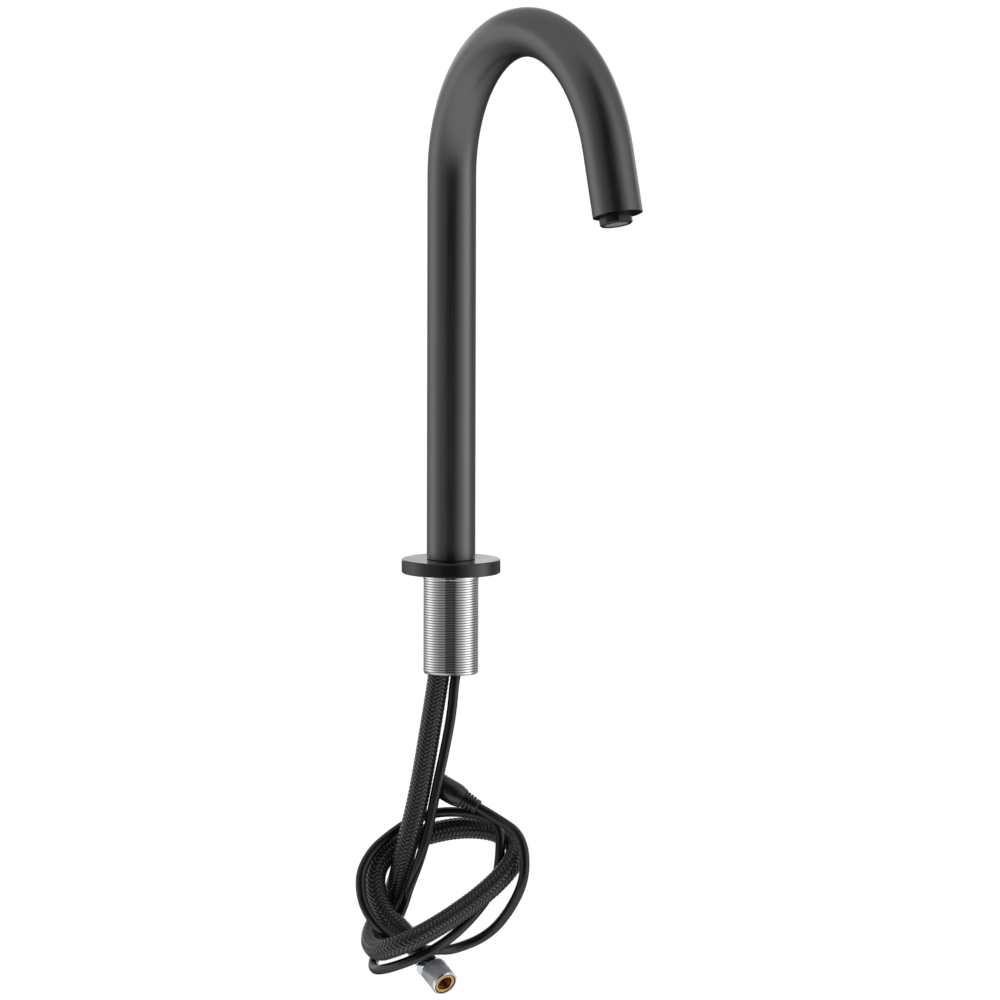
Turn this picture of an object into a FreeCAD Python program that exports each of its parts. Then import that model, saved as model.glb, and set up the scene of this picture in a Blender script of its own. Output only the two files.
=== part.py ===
import FreeCAD, Part
import math
import os

import Sketcher

# A deck-mounted, hands-free gooseneck faucet. Millimetres, +Z up. The origin is the centre of the
# base flange's underside, which stands on the deck. The neck rises along +Z and reaches towards -Y.

DOC = FreeCAD.newDocument("gooseneck_faucet")
VECTOR = FreeCAD.Vector
UP = VECTOR(0, 0, 1)

# ---------------------------------------------------------------- driving dimensions

DIMENSIONS = (
    ("neck_outer", 14.0, "neck tube, outside radius"),
    ("neck_wall", 1.5, "neck tube, wall"),
    ("neck_foot", 8.4, "height of the neck tube's lower end above the deck"),
    ("neck_straight", 229.0, "height where the neck starts to bend"),
    ("neck_bend", 86.0, "radius of the bend, to the centre line"),
    ("neck_angle", 163.5, "how far the neck bends, in degrees"),
    ("neck_tip", 37.3, "straight run after the bend"),
    ("flange_outer", 28.5, "base flange, outside radius"),
    ("flange_thick", 8.0, "base flange, thickness"),
    ("flange_edge", 0.5, "chamfer round the flange"),
    ("shank_outer", 15.9, "shank, radius over the thread"),
    ("shank_inner", 13.4, "shank, bore radius"),
    ("shank_below", 58.3, "shank, reach below the deck"),
    ("shank_engaged", 6.0, "shank, height inside the flange"),
    ("thread_pitch", 1.5, "shank thread, pitch"),
    ("thread_deep", 0.92, "shank thread, depth"),
    ("thread_turns", 36.0, "shank thread, turns"),
    ("insert_low", 14.0, "foot insert, reach below the deck"),
    ("insert_high", 26.0, "foot insert, top above the deck"),
    ("hose_across", -5.0, "hose inlet and water line, place across the neck"),
    ("hose_along", 2.0, "hose inlet and water line, place along the spout"),
    ("lead_across", 6.5, "sensor lead, place across the neck"),
    ("lead_along", -3.0, "sensor lead, place along the spout"),
    ("hose_outer", 6.2, "braided supply hose, radius"),
    ("cable_outer", 2.9, "sensor cable, radius"),
    ("cord_start", 34.0, "depth below the deck where both cords begin, inside the shank"),
    ("line_outer", 4.0, "inner water line, outside radius"),
    ("line_inner", 2.5, "inner water line, inside radius"),
    ("block_outer", 12.45, "outlet block, radius"),
    ("block_face", 0.4, "outlet block, how far its face is set back in the tube"),
    ("block_top", 20.0, "outlet block, top"),
    ("module_long", 12.8, "sensor module, length"),
    ("aerator_outer", 9.2, "aerator, radius"),
    ("aerator_shift", 2.8, "aerator, offset from the tube's axis towards the riser"),
    ("aerator_out", 4.9, "aerator, how far it stands out of the tube"),
    ("chamber_outer", 9.28, "aerator chamber in the outlet block, radius"),
    ("chamber_deep", 10.0, "aerator chamber, depth"),
    ("plenum_deep", 2.0, "space above the aerator chamber, depth"),
    ("cartridge_long", 6.5, "aerator's flow cartridge, length"),
    ("window_shift", 9.9, "sensor window, offset from the tube's axis away from the riser"),
    ("window_half", 2.2, "sensor window, half the distance between its round ends' centres"),
    ("window_round", 1.7, "sensor window, radius of its round ends"),
    ("slot_round", 1.75, "window slot, radius of its round ends"),
    ("nut_outer", 7.75, "hose nut, radius"),
    ("nut_long", 21.0, "hose nut, length"),
    ("nut_hex_long", 6.5, "hose nut, length of its hexagon"),
    ("nut_flats", 7.15, "hose nut, centre to flat"),
    ("nut_thread", 4.45, "hose nut's insert, bore radius, tapped for a 10 mm thread"),
    ("ferrule_outer", 6.35, "hose ferrule, radius"),
    ("ferrule_end", 38.0, "from the nut's face back to the hose's end"),
    ("plug_outer", 6.9, "plug, radius"),
    ("plug_relief", 9.5, "plug, length of its strain relief"),
    ("plug_long", 27.5, "plug, whole length"),
    ("plug_socket", 4.3, "plug, radius of its socket"),
    ("socket_deep", 5.5, "plug, depth of its socket"),
    ("socket_floor", 8.0, "plug, depth of the floor that the insulator stands on"),
)

# Where the two free ends lie: the centre of the hose nut's face and the back of the plug, each with
# the direction it points in, as an angle round +Z from +X and a tilt down from +Z, in degrees. The
# last angle is how far the nut has turned on its own axis.
NUT_FACE = VECTOR(-17.5, -24, -235.5)
NUT_TURN = -87
NUT_TILT = 119
NUT_REST = -26
PLUG_BACK = VECTOR(12, -11, -136.5)
PLUG_TURN = 134
PLUG_TILT = 62.5


def dimension_sheet():
    """The spreadsheet that drives every sketch and placement."""
    sheet = DOC.addObject("Spreadsheet::Sheet", "Size")
    for row, (alias, value, meaning) in enumerate(DIMENSIONS, start=1):
        sheet.set(f"A{row}", meaning)
        sheet.set(f"B{row}", str(value))
        sheet.setAlias(f"B{row}", alias)
    DOC.recompute()
    return sheet


SIZE = dimension_sheet()
PIECES = []

# An empty object to evaluate expressions on, because a sheet can't refer to itself.
SCALE = DOC.addObject("App::FeaturePython", "Scale")


def value_of(formula):
    """The number that an expression of the sheet stands for."""
    result = SCALE.evalExpression(formula)
    return float(getattr(result, "Value", result))


# ---------------------------------------------------------------- sketches and features


def new_body(label):
    """A named piece."""
    body = DOC.addObject("PartDesign::Body", label)
    body.Label = label
    PIECES.append(body)
    return body


def new_sketch(body, name, plane, height="0"):
    """A sketch on one of the body's own origin planes, raised by a height."""
    sketch = body.newObject("Sketcher::SketchObject", name)
    support = next(item for item in body.Origin.OriginFeatures if item.Role == plane)
    sketch.AttachmentSupport = [(support, "")]
    sketch.MapMode = "FlatFace"
    if height != "0":
        sketch.setExpression("AttachmentOffset.Base.z", height)
    return sketch


def drive(sketch, constraint, formula):
    """Add a dimension and bind it to an expression."""
    index = sketch.addConstraint(constraint)
    sketch.setExpression(f"Constraints[{index}]", formula)


def fix_point(sketch, edge, end, across, along):
    """Hold a point of a sketch at two expressions, measured from the sketch's origin."""
    for kind, axis, formula in (("DistanceX", -2, across), ("DistanceY", -1, along)):
        value = value_of(formula)
        if abs(value) < 1e-9:
            sketch.addConstraint(Sketcher.Constraint("PointOnObject", edge, end, axis))
        elif value > 0:
            drive(sketch, Sketcher.Constraint(kind, -1, 1, edge, end, value), formula)
        else:
            drive(sketch, Sketcher.Constraint(kind, edge, end, -1, 1, -value), f"-({formula})")


def outline(sketch, points):
    """A closed outline of straight edges through points, each a pair of expressions."""
    spots = [VECTOR(value_of(across), value_of(along), 0) for across, along in points]
    count = len(points)
    sketch.addGeometry([Part.LineSegment(spots[edge - 1], spots[edge]) for edge in range(count)])
    for edge in range(count):
        sketch.addConstraint(Sketcher.Constraint("Coincident", (edge - 1) % count, 2, edge, 1))
        fix_point(sketch, edge, 2, *points[edge])


def circle(sketch, across, along, radius):
    """A circle at two expressions, its radius a third."""
    centre = VECTOR(value_of(across), value_of(along), 0)
    edge = sketch.addGeometry(Part.Circle(centre, UP, value_of(radius)))
    fix_point(sketch, edge, 3, across, along)
    drive(sketch, Sketcher.Constraint("Radius", edge, value_of(radius)), radius)


def turned(label, points):
    """A piece turned on a lathe. Each point of its outline is a radius and a height."""
    body = new_body(label)
    sketch = new_sketch(body, f"{label}_outline", "XZ_Plane")
    outline(sketch, points)
    turning = body.newObject("PartDesign::Revolution", f"{label}_turning")
    turning.Profile = sketch
    turning.ReferenceAxis = (sketch, ["V_Axis"])
    turning.Angle = 360
    return body


def ring(label, inner, outer, low, high):
    """A plain ring, sleeve or, with an inner radius of 0, disc."""
    return turned(label, ((inner, low), (outer, low), (outer, high), (inner, high)))


def removed(body, feature):
    """Recompute, and make sure that a cut took material away."""
    before = feature.BaseFeature.Shape.Volume
    DOC.recompute()
    if before - body.Shape.Volume < 0.005:
        raise ValueError(f"{feature.Name} cuts nothing")
    return feature


def cut_up(body, sketch, depth):
    """A pocket from the sketch upwards."""
    DOC.recompute()
    pocket = body.newObject("PartDesign::Pocket", f"{sketch.Name}_cut")
    pocket.Profile = sketch
    pocket.Reversed = True
    pocket.setExpression("Length", depth)
    return removed(body, pocket)


def drill(body, name, height, depth, *holes):
    """Round holes upwards from a height, each a place across and along and a radius."""
    sketch = new_sketch(body, f"{body.Name}_{name}", "XY_Plane", height)
    for hole in holes:
        circle(sketch, *hole)
    return cut_up(body, sketch, depth)


def notches(body, name, height, depth, count, points):
    """The same notch, cut upwards from a height, repeated round the axis."""
    sketch = new_sketch(body, f"{body.Name}_{name}", "XY_Plane", height)
    outline(sketch, points)
    first = cut_up(body, sketch, depth)
    pattern = body.newObject("PartDesign::PolarPattern", f"{body.Name}_{name}_pattern")
    pattern.Originals = [first]
    pattern.Axis = (sketch, ["N_Axis"])
    pattern.Angle = 360
    pattern.Occurrences = count
    body.Tip = pattern
    DOC.recompute()
    return pattern


def flats(body, name, height, depth, count, from_axis, outer):
    """Flats for a wrench, made by milling a round piece."""
    points = (
        (from_axis, f"-{outer}"),
        (f"{outer} * 1.3", f"-{outer}"),
        (f"{outer} * 1.3", outer),
        (from_axis, outer),
    )
    return notches(body, name, height, depth, count, points)


def put(body, across="0", along="0", up="0"):
    """Stand a piece upright at three expressions."""
    for axis, formula in zip("xyz", (across, along, up)):
        body.setExpression(f"Placement.Base.{axis}", formula)
    return body


def bent(label, outer, inner, bend, rise, tip):
    """A tube that rises, bends over towards -Y and runs straight again."""
    body = new_body(label)
    section = new_sketch(body, f"{label}_section", "XY_Plane")
    for radius in (outer, inner):
        if radius != "0":
            circle(section, "0", "0", radius)
    path = new_sketch(body, f"{label}_path", "YZ_Plane")
    radius, height, last = value_of(bend), value_of(rise), value_of(tip)
    angle = math.radians(value_of("Size.neck_angle"))
    centre = VECTOR(-radius, height, 0)
    over = centre + VECTOR(math.cos(angle), math.sin(angle), 0) * radius
    end = over + VECTOR(-math.sin(angle), math.cos(angle), 0) * last
    path.addGeometry(Part.LineSegment(VECTOR(0, 0, 0), VECTOR(0, height, 0)))
    path.addGeometry(Part.ArcOfCircle(Part.Circle(centre, UP, radius), 0, angle))
    path.addGeometry(Part.LineSegment(over, end))
    path.addConstraint(Sketcher.Constraint("Coincident", 0, 1, -1, 1))
    fix_point(path, 0, 2, "0", rise)
    path.addConstraint(Sketcher.Constraint("Coincident", 1, 1, 0, 2))
    fix_point(path, 1, 3, f"-({bend})", rise)
    path.addConstraint(Sketcher.Constraint("Tangent", 1, 2, 2, 1))
    fix_point(path, 2, 2, *tip_spot(bend, rise, tip))
    pipe = body.newObject("PartDesign::AdditivePipe", f"{label}_pipe")
    pipe.Profile = section
    pipe.Spine = (path, ["Edge1", "Edge2", "Edge3"])
    return body


def tip_spot(bend, rise, tip):
    """Where a bent tube's centre line ends, as expressions in its own plane."""
    turn = "Size.neck_angle * 1 deg"
    back = f"-({bend}) * (1 - cos({turn})) - ({tip}) * sin({turn})"
    high = f"{rise} + ({bend}) * sin({turn}) + ({tip}) * cos({turn})"
    return back, high


def at_outlet(body, across="0", along="0", inwards="0"):
    """Set a piece in the spout's end: its own +Z runs back up the tube, its +Y towards the riser."""
    back, high = tip_spot("Size.neck_bend", "Size.neck_straight", "Size.neck_tip")
    lean = "(Size.neck_angle * 1 deg - 180 deg)"
    body.Placement = FreeCAD.Placement(VECTOR(), VECTOR(1, 0, 0), value_of("Size.neck_angle") - 180)
    body.setExpression("Placement.Base.x", across)
    body.setExpression("Placement.Base.y", f"{back} + ({along}) * cos({lean}) - ({inwards}) * sin({lean})")
    body.setExpression("Placement.Base.z", f"{high} + ({along}) * sin({lean}) + ({inwards}) * cos({lean})")
    return body


def pointed(face, turn, tilt):
    """A frame at a point whose +Z has been tilted down from +Z and turned round it."""
    return FreeCAD.Placement(face, FreeCAD.Rotation(UP, turn) * FreeCAD.Rotation(VECTOR(0, 1, 0), tilt))


NUT_FRAME = pointed(NUT_FACE, NUT_TURN, NUT_TILT)
PLUG_FRAME = pointed(PLUG_BACK, PLUG_TURN, PLUG_TILT)


def at_end(body, frame, height="0", turn=0):
    """Set a piece on a cord's end, moved along that end's axis and turned round it."""
    shift = FreeCAD.Placement(UP * value_of(height), FreeCAD.Rotation(UP, turn))
    body.Placement = frame.multiply(shift)
    return body


# ---------------------------------------------------------------- neck, flange and shank


def neck():
    """The gooseneck tube, its flange and the ring seal between them."""
    tube = bent(
        "spout_tube",
        "Size.neck_outer",
        "Size.neck_outer - Size.neck_wall",
        "Size.neck_bend",
        "Size.neck_straight - Size.neck_foot",
        "Size.neck_tip",
    )
    put(tube, up="Size.neck_foot")
    seal = ring(
        "foot_seal",
        "Size.neck_outer - Size.neck_wall",
        "Size.neck_outer - 0.4",
        "0",
        "Size.neck_foot - Size.flange_thick",
    )
    put(seal, up="Size.flange_thick")
    turned("base_flange", flange_outline())


def flange_outline():
    """The flange's section: chamfered rim, and a stepped bore that takes the shank from below."""
    rim, top, edge = "Size.flange_outer", "Size.flange_thick", "Size.flange_edge"
    bore, step, throat = "Size.shank_outer - 0.3", "Size.shank_engaged", "Size.shank_inner + 0.1"
    return (
        ("Size.shank_outer + 1.5", "0"),
        (f"{rim} - {edge}", "0"),
        (rim, edge),
        (rim, f"{top} - {edge}"),
        (f"{rim} - {edge}", top),
        (throat, top),
        (throat, step),
        (bore, step),
        (bore, "1.8"),
    )


def shank():
    """The hollow threaded shank that goes through the deck, with its collar under the flange."""
    below, bore, crest = "Size.shank_below", "Size.shank_inner", "Size.shank_outer"
    body = turned(
        "threaded_shank",
        (
            (bore, "0"),
            (f"{crest} - 0.6", "0"),
            (crest, "0.6"),
            (crest, f"{below} - 3"),
            (f"{crest} + 0.4", f"{below} - 2.6"),
            (f"{crest} + 0.4", f"{below} - 0.1"),
            (f"{crest} - 0.4", f"{below} - 0.1"),
            (f"{crest} - 0.4", f"{below} + Size.shank_engaged"),
            (bore, f"{below} + Size.shank_engaged"),
        ),
    )
    put(body, up=f"-{below}")
    cut_thread(body)


def cut_thread(body):
    """The shank's thread, as one V groove repeated at the pitch."""
    crest, pitch, deep = "Size.shank_outer", "Size.thread_pitch", "Size.thread_deep"
    sketch = new_sketch(body, "thread_groove", "XZ_Plane")
    middle = f"1.2 + {pitch} / 2"
    outline(
        sketch,
        (
            (f"{crest} - {deep}", middle),
            (f"{crest} + 0.1", f"{middle} - {pitch} * 0.46"),
            (f"{crest} + 0.1", f"{middle} + {pitch} * 0.46"),
        ),
    )
    DOC.recompute()
    groove = body.newObject("PartDesign::Groove", "thread_first_turn")
    groove.Profile = sketch
    groove.ReferenceAxis = (sketch, ["V_Axis"])
    groove.Angle = 360
    removed(body, groove)
    pattern = body.newObject("PartDesign::LinearPattern", "thread_turns")
    pattern.Originals = [groove]
    pattern.Direction = (sketch, ["V_Axis"])
    pattern.setExpression("Length", f"{pitch} * (Size.thread_turns - 1)")
    pattern.Occurrences = int(value_of("Size.thread_turns"))
    body.Tip = pattern
    DOC.recompute()


# ---------------------------------------------------------------- inlet, inside the foot


def foot_insert():
    """The brass insert that joins tube and shank, drilled for the water and the sensor lead."""
    low, high = "Size.insert_low", "Size.insert_high"
    wide, slim = "Size.shank_inner - 0.1", "Size.neck_outer - Size.neck_wall - 0.05"
    body = turned(
        "foot_insert",
        (
            ("0", "0"),
            (wide, "0"),
            (wide, f"{low} + Size.flange_thick - 0.4"),
            (slim, f"{low} + Size.flange_thick - 0.4"),
            (slim, f"{low} + {high}"),
            ("0", f"{low} + {high}"),
        ),
    )
    put(body, up=f"-{low}")
    water = ("Size.hose_across", "Size.hose_along")
    lead = ("Size.lead_across", "Size.lead_along")
    through = f"{low} + {high}"
    drill(body, "ways", "0", through, (*water, "Size.line_inner"), (*lead, "Size.cable_outer + 0.1"))
    drill(body, "inlet", "0", f"{low} - 1.5", (*water, "5"))
    drill(body, "relief_seat", "0", "8", (*lead, "3.95"))


def hose_inlet():
    """The hose's upper fitting: a threaded nipple with a hexagon, and its crimped ferrule."""
    start = "Size.cord_start - Size.insert_low"
    nipple = turned(
        "hose_inlet_nipple",
        (
            ("2.2", "0"),
            ("3.2", "0"),
            ("3.2", f"{start} - 4"),
            ("6.2", f"{start} - 4"),
            ("6.2", f"{start} - 0.05"),
            ("4.95", f"{start} - 0.05"),
            ("4.95", f"{start} + 12"),
            ("2.2", f"{start} + 12"),
        ),
    )
    put(nipple, "Size.hose_across", "Size.hose_along", "-Size.cord_start")
    flats(nipple, "hexagon", f"{start} - 4", "3.95", 6, "5.5", "6.2")
    ferrule = ring("inlet_ferrule", "3.25", "6.45", "0", f"{start} - 4.2")
    put(ferrule, "Size.hose_across", "Size.hose_along", "-Size.cord_start")


def lead_relief():
    """The tapered rubber sleeve that holds the sensor lead under the foot insert."""
    start = "Size.cord_start - Size.insert_low"
    relief = turned(
        "lead_strain_relief",
        (
            ("Size.cable_outer + 0.05", "0"),
            ("3.4", "0"),
            ("4.4", f"{start} - 3"),
            ("4.4", f"{start} - 0.05"),
            ("3.9", f"{start} - 0.05"),
            ("3.9", f"{start} + 7.8"),
            ("Size.cable_outer + 0.05", f"{start} + 7.8"),
        ),
    )
    put(relief, "Size.lead_across", "Size.lead_along", "-Size.cord_start")


def water_line():
    """The inner water line from the foot to the outlet block, with a nipple and a clip at each end."""
    across, along, top = "Size.hose_across", "Size.hose_along", "Size.insert_high"
    line = bent(
        "water_line",
        "Size.line_outer",
        "Size.line_inner",
        f"Size.neck_bend + {along}",
        f"Size.neck_straight - {top}",
        "Size.neck_tip - Size.block_top",
    )
    put(line, across, along, top)
    for name in ("lower", "upper"):
        nipple = ring(f"line_nipple_{name}", "1.7", "Size.line_inner - 0.03", "0", "14")
        clip = ring(f"line_clip_{name}", "Size.line_outer + 0.02", "Size.line_outer + 0.7", "0", "6")
        if name == "lower":
            put(nipple, across, along, f"{top} - 5")
            put(clip, across, along, f"{top} + 2")
        else:
            at_outlet(nipple, across, f"-({along})", "Size.block_top - 5")
            at_outlet(clip, across, f"-({along})", "Size.block_top + 2")


def sensor_lead():
    """The sensor's lead inside the neck, from the cords' start to the sensor module."""
    lead = bent(
        "sensor_lead",
        "Size.cable_outer",
        "0",
        "Size.neck_bend + Size.lead_along",
        "Size.neck_straight + Size.cord_start",
        "Size.neck_tip - Size.block_top - Size.module_long - 0.7",
    )
    put(lead, "Size.lead_across", "Size.lead_along", "-Size.cord_start")


# ---------------------------------------------------------------- outlet


def outlet_block():
    """The block in the spout's end: the aerator's chamber, the water port and the sensor slot."""
    face, top = "Size.block_face", "Size.block_top"
    body = ring("outlet_block", "0", "Size.block_outer", face, top)
    chamber = ("0", "Size.aerator_shift")
    drill(body, "chamber", "0", "Size.chamber_deep", (*chamber, "Size.chamber_outer"))
    ceiling = "Size.chamber_deep + Size.plenum_deep"
    port = ("Size.hose_across", "-Size.hose_along", "Size.line_inner")
    drill(body, "plenum", "Size.chamber_deep", "Size.plenum_deep", (*chamber, "8"))
    drill(body, "port", ceiling, f"{top} - ({ceiling})", port)
    cut_up(body, slot_sketch(body, "Size.slot_round", "0"), top)
    at_outlet(body)


def slot_sketch(body, radius, height):
    """A slot with round ends, across the tube."""
    sketch = new_sketch(body, f"{body.Name}_slot", "XY_Plane", height)
    half, rounding, shift = value_of("Size.window_half"), value_of(radius), value_of("Size.window_shift")
    right, left = VECTOR(half, -shift, 0), VECTOR(-half, -shift, 0)
    quarter = math.pi / 2
    sketch.addGeometry(Part.ArcOfCircle(Part.Circle(right, UP, rounding), -quarter, quarter))
    sketch.addGeometry(Part.LineSegment(right + VECTOR(0, rounding, 0), left + VECTOR(0, rounding, 0)))
    sketch.addGeometry(Part.ArcOfCircle(Part.Circle(left, UP, rounding), quarter, 3 * quarter))
    sketch.addGeometry(Part.LineSegment(left - VECTOR(0, rounding, 0), right - VECTOR(0, rounding, 0)))
    for edge in range(4):
        sketch.addConstraint(Sketcher.Constraint("Tangent", edge, 2, (edge + 1) % 4, 1))
    fix_point(sketch, 0, 3, "Size.window_half", "-Size.window_shift")
    fix_point(sketch, 2, 3, "-Size.window_half", "-Size.window_shift")
    drive(sketch, Sketcher.Constraint("Radius", 0, rounding), radius)
    return sketch


def aerator():
    """The aerator: its housing with wrench flats, the flow cartridge, the screen and the washer."""
    outer, out = "Size.aerator_outer", "Size.aerator_out"
    housing = turned(
        "aerator_housing",
        (
            (f"{outer} - 2.2", "0"),
            (f"{outer} - 0.8", "0"),
            (outer, "0.8"),
            (outer, f"{out} + 8"),
            (f"{outer} - 1.8", f"{out} + 8"),
            (f"{outer} - 1.8", "0.25"),
            (f"{outer} - 2.2", "0.25"),
        ),
    )
    flats(housing, "wrench_flats", "0", f"{out} - 0.8", 4, f"{outer} - 0.55", outer)
    screen = ring("aerator_screen", "0", f"{outer} - 1.85", "0", "0.6")
    cartridge = ring("aerator_cartridge", "0", f"{outer} - 1.85", "0", "Size.cartridge_long")
    drill(cartridge, "middle_hole", "0", "Size.cartridge_long", ("0", "0", "0.8"))
    ring_of_holes(cartridge, "inner", 6, "2.7")
    ring_of_holes(cartridge, "outer", 12, "5.3")
    washer = ring("aerator_washer", f"{outer} - 2.9", f"{outer} - 0.05", "0", "1.7")
    for piece, height in ((housing, "0"), (screen, "0.3"), (cartridge, "1"), (washer, f"{out} + 8.05")):
        at_outlet(piece, "0", "Size.aerator_shift", f"{height} - {out}")


def ring_of_holes(body, name, count, radius):
    """Round holes through the cartridge, evenly round its axis."""
    first = drill(body, f"{name}_holes", "0", "Size.cartridge_long", (radius, "0", "0.9"))
    pattern = body.newObject("PartDesign::PolarPattern", f"{body.Name}_{name}_pattern")
    pattern.Originals = [first]
    pattern.Axis = (first.Profile[0], ["N_Axis"])
    pattern.Angle = 360
    pattern.Occurrences = count
    body.Tip = pattern
    DOC.recompute()


def sensor():
    """The sensor: window, emitter, receiver and board in the slot, and the potted module above."""
    window = new_body("sensor_window")
    sketch = slot_sketch(window, "Size.window_round", "Size.block_face")
    plate = window.newObject("PartDesign::Pad", "sensor_window_plate")
    plate.Profile = sketch
    plate.Length = 1.5
    at_outlet(window)
    for name, side in (("ir_emitter", "-Size.window_half"), ("ir_receiver", "Size.window_half")):
        lens = (("0", "0"), ("0.8", "0"), ("1.4", "0.7"), ("1.4", "3.4"))
        rim = (("1.6", "3.4"), ("1.6", "4"), ("0", "4"))
        at_outlet(turned(name, lens + rim), side, "-Size.window_shift", "2")
    sensor_board()
    sensor_module()


def sensor_board():
    """The narrow circuit board behind the two diodes."""
    board = new_body("sensor_board")
    sketch = new_sketch(board, "sensor_board_outline", "XY_Plane")
    outline(sketch, (("-3.4", "-0.6"), ("3.4", "-0.6"), ("3.4", "0.6"), ("-3.4", "0.6")))
    plate = board.newObject("PartDesign::Pad", "sensor_board_plate")
    plate.Profile = sketch
    plate.Length = 14.2
    at_outlet(board, "0", "-Size.window_shift", "6.1")


def sensor_module():
    """The potted electronics above the outlet block, on the side away from the water line."""
    module = ring("sensor_module", "0", "Size.block_outer - 0.4", "0", "Size.module_long")
    sketch = new_sketch(module, "sensor_module_side", "XY_Plane", "0")
    outline(sketch, (("-14", "-14"), ("0.6", "-14"), ("0.6", "14"), ("-14", "14")))
    cut_up(module, sketch, "Size.module_long")
    at_outlet(module, "0", "0", "Size.block_top + 0.5")


# ---------------------------------------------------------------- hose end


def hose_end():
    """The lower hose fitting: ferrule, tailpiece, washer, and the swivel nut with its brass insert."""
    web = "Size.nut_long - 4"
    ferrule()
    tailpiece = turned(
        "hose_tailpiece",
        (
            ("2.8", "-Size.ferrule_end"),
            ("4.5", "-Size.ferrule_end"),
            ("4.5", f"-({web}) + 0.1"),
            ("6.1", f"-({web}) + 0.1"),
            ("6.1", f"-({web}) + 1.7"),
            ("2.8", f"-({web}) + 1.7"),
        ),
    )
    washer = ring("hose_washer", "3", "6.1", f"-({web}) + 1.75", f"-({web}) + 3.7")
    insert = turned(
        "nut_insert",
        (
            ("Size.nut_thread", f"-({web}) + 4"),
            ("Size.nut_outer - 1.55", f"-({web}) + 4"),
            ("Size.nut_outer - 1.55", "-0.5"),
            ("Size.nut_outer - 1.75", "-0.3"),
            ("Size.nut_thread + 0.3", "-0.3"),
            ("Size.nut_thread", "-0.6"),
        ),
    )
    for piece in (tailpiece, washer, insert):
        at_end(piece, NUT_FRAME)
    swivel_nut(web)


def ferrule():
    """The crimped sleeve between hose and nut, with two crimp grooves."""
    outer, back = "Size.ferrule_outer", "Size.ferrule_end"
    body = turned(
        "hose_ferrule",
        (
            ("4.52", "0"),
            (outer, "0"),
            (outer, "4"),
            (f"{outer} - 0.35", "4.6"),
            (f"{outer} - 0.35", "6"),
            (outer, "6.6"),
            (outer, "9"),
            (f"{outer} - 0.35", "9.6"),
            (f"{outer} - 0.35", "11"),
            (outer, "11.6"),
            (outer, "15.4"),
            (f"{outer} - 0.6", "16"),
            ("4.52", "16"),
        ),
    )
    at_end(body, NUT_FRAME, f"-{back}")


def swivel_nut(web):
    """The nut: a hexagon at the back, fine straight knurling in front, turning on the tailpiece."""
    outer, long, hex_long = "Size.nut_outer", "Size.nut_long", "Size.nut_hex_long"
    body = turned(
        "hose_nut",
        (
            ("4.56", "0"),
            (f"{outer} - 0.7", "0"),
            (f"{outer} + 0.3", "0.8"),
            (f"{outer} + 0.3", hex_long),
            (outer, hex_long),
            (outer, f"{long} - 0.7"),
            (f"{outer} - 0.45", long),
            (f"{outer} - 1.5", long),
            (f"{outer} - 1.5", f"{long} - ({web})"),
            ("4.56", f"{long} - ({web})"),
        ),
    )
    flats(body, "hexagon", "0", hex_long, 6, "Size.nut_flats", "Size.nut_outer + 0.3")
    knurl = (
        (f"{outer} - 0.2", "0"),
        (f"{outer} + 0.05", "-0.26"),
        (f"{outer} + 0.05", "0.26"),
    )
    notches(body, "knurl", f"{hex_long} + 0.8", f"{long} - {hex_long} - 2.4", 60, knurl)
    at_end(body, NUT_FRAME, f"-{long}", NUT_REST)


# ---------------------------------------------------------------- plug


def plug():
    """The sensor cable's moulded plug: ribbed strain relief, body, front ring and its socket."""
    relief_long, long, outer = "Size.plug_relief", "Size.plug_long", "Size.plug_outer"
    step, floor = f"{long} - Size.socket_deep", f"{long} - Size.socket_floor"
    core = "3.6"
    relief = [("0", "0"), ("3.9", "0"), ("4.2", "0.4"), ("4.3", "2.4"), (core, "2.7")]
    for rib in range(3):
        low = 3.3 + 2.1 * rib
        wide = f"{4.7 + 0.25 * rib}"
        relief += [(core, f"{low}"), (wide, f"{low + 0.2}"), (wide, f"{low + 1.2}"), (core, f"{low + 1.4}")]
    relief += [(core, relief_long), ("0", relief_long)]
    body = turned(
        "plug_body",
        (
            ("0", relief_long),
            (f"{outer} - 1.8", relief_long),
            (f"{outer} - 1.2", f"{relief_long} + 0.4"),
            (f"{outer} - 0.3", f"{relief_long} + 4"),
            (outer, f"{relief_long} + 7"),
            (outer, f"{long} - 3.5"),
            (f"{outer} - 0.5", f"{long} - 3"),
            (f"{outer} - 0.5", long),
            ("Size.plug_socket", long),
            ("Size.plug_socket", step),
            ("Size.plug_socket - 0.4", step),
            ("Size.plug_socket - 0.4", floor),
            ("0", floor),
        ),
    )
    collar = ring("plug_collar", f"{outer} - 0.48", f"{outer} + 0.1", f"{long} - 2.6", f"{long} - 0.8")
    insulator = ring("plug_insulator", "0", "Size.plug_socket - 0.42", f"{floor} + 0.02", f"{step} - 0.02")
    turns = [math.tau * way / 3 for way in range(3)]
    ways = [(f"{1.9 * math.cos(turn)}", f"{1.9 * math.sin(turn)}") for turn in turns]
    drill(insulator, "ways", f"{floor} - 0.2", "4", *[(*way, "0.8") for way in ways])
    contacts = new_body("plug_contacts")
    sketch = new_sketch(contacts, "plug_contacts_section", "XY_Plane", f"{floor} + 0.02")
    for way in ways:
        circle(sketch, *way, "0.75")
        circle(sketch, *way, "0.45")
    sleeves = contacts.newObject("PartDesign::Pad", "plug_contacts_sleeves")
    sleeves.Profile = sketch
    sleeves.Length = 2.4
    for piece in (turned("plug_strain_relief", relief), body, collar, insulator, contacts):
        at_end(piece, PLUG_FRAME)


# ---------------------------------------------------------------- free cords

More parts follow.
